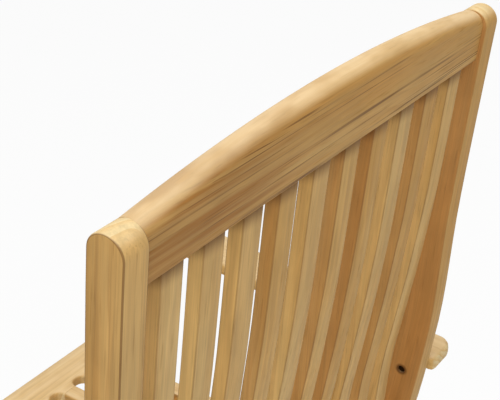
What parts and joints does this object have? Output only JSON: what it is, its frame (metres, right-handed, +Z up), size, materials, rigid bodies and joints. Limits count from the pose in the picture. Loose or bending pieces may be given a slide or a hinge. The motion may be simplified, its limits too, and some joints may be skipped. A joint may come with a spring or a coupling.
{
  "type": "folding armchair",
  "caption": "Slatted wooden folding armchair with stiles that curve down into its front legs, crossed rear legs slotted for a pin, and arms that fold up with the seat.",
  "frame": {"origin": "centre of the bounding box on the floor, with the chair open", "axes": "+Z up, the chair faces -Y, +X is the sitter's left"},
  "size_m": [0.653, 0.523, 0.9045],
  "materials": {
    "teak": "sanded, lightly oiled",
    "brass": "satin"
  },
  "bodies": {
    "frame": {"back_slat_01": "teak", "back_slat_02": "teak", "back_slat_03": "teak", "back_slat_04": "teak", "back_slat_05": "teak", "back_slat_06": "teak", "back_slat_07": "teak", "back_slat_08": "teak", "back_slat_09": "teak", "back_slat_10": "teak", "front_stretcher": "teak", "left_arm_pin": "brass", "left_arm_washer": "brass", "left_crossing_pin": "brass", "left_seat_pin": "brass", "left_seat_spacer": "brass", "left_stile": "teak", "lower_back_rail": "teak", "right_arm_pin": "brass", "right_arm_washer": "brass", "right_crossing_pin": "brass", "right_seat_pin": "brass", "right_seat_spacer": "brass", "right_stile": "teak", "top_rail": "teak"},
    "seat": {"left_leg_pin": "brass", "left_leg_washer": "brass", "left_post_foot_pin": "brass", "left_seat_rail": "teak", "right_leg_pin": "brass", "right_leg_washer": "brass", "right_post_foot_pin": "brass", "right_seat_rail": "teak", "seat_batten": "teak", "seat_front_rail": "teak", "seat_rear_rail": "teak", "seat_slat_01": "teak", "seat_slat_02": "teak", "seat_slat_03": "teak", "seat_slat_04": "teak", "seat_slat_05": "teak", "seat_slat_06": "teak", "seat_slat_07": "teak", "seat_slat_08": "teak", "seat_slat_09": "teak"},
    "rear_legs": {"left_rear_leg": "teak", "rear_stretcher": "teak", "right_rear_leg": "teak"},
    "left_arm_body": {"left_arm": "teak", "left_arm_cleat": "teak", "left_post_head_pin": "brass"},
    "right_arm_body": {"right_arm": "teak", "right_arm_cleat": "teak", "right_post_head_pin": "brass"},
    "left_post_body": {"left_arm_post": "teak"},
    "right_post_body": {"right_arm_post": "teak"}
  },
  "joints": [
    {"name": "seat_fold", "type": "hinge", "parent": "frame", "child": "seat", "pos_m": [0, 0.11235, 0.405], "axis": [-1, 0, 0], "range_deg": [0, 97]},
    {"name": "rear_legs_swing", "type": "hinge", "parent": "seat", "child": "rear_legs", "pos_m": [0, -0.04293, 0.38868], "axis": [-1, 0, 0], "range_deg": [-48.5, 0]},
    {"name": "left_arm_lift", "type": "hinge", "parent": "frame", "child": "left_arm_body", "pos_m": [0, 0.16825, 0.516], "axis": [-1, 0, 0], "range_deg": [0, 97]},
    {"name": "left_post_swing", "type": "hinge", "parent": "left_arm_body", "child": "left_post_body", "pos_m": [0, -0.18708, 0.53773], "axis": [-1, 0, 0], "range_deg": [-97, 0]},
    {"name": "right_arm_lift", "type": "hinge", "parent": "frame", "child": "right_arm_body", "pos_m": [0, 0.16825, 0.516], "axis": [-1, 0, 0], "range_deg": [0, 97]},
    {"name": "right_post_swing", "type": "hinge", "parent": "right_arm_body", "child": "right_post_body", "pos_m": [0, -0.18708, 0.53773], "axis": [-1, 0, 0], "range_deg": [-97, 0]}
  ],
  "couplings": [
    {"joint": "rear_legs_swing", "follows": "seat_fold", "ratio": -0.5},
    {"joint": "left_arm_lift", "follows": "seat_fold", "ratio": 1},
    {"joint": "left_post_swing", "follows": "seat_fold", "ratio": -1},
    {"joint": "right_arm_lift", "follows": "seat_fold", "ratio": 1},
    {"joint": "right_post_swing", "follows": "seat_fold", "ratio": -1}
  ]
}
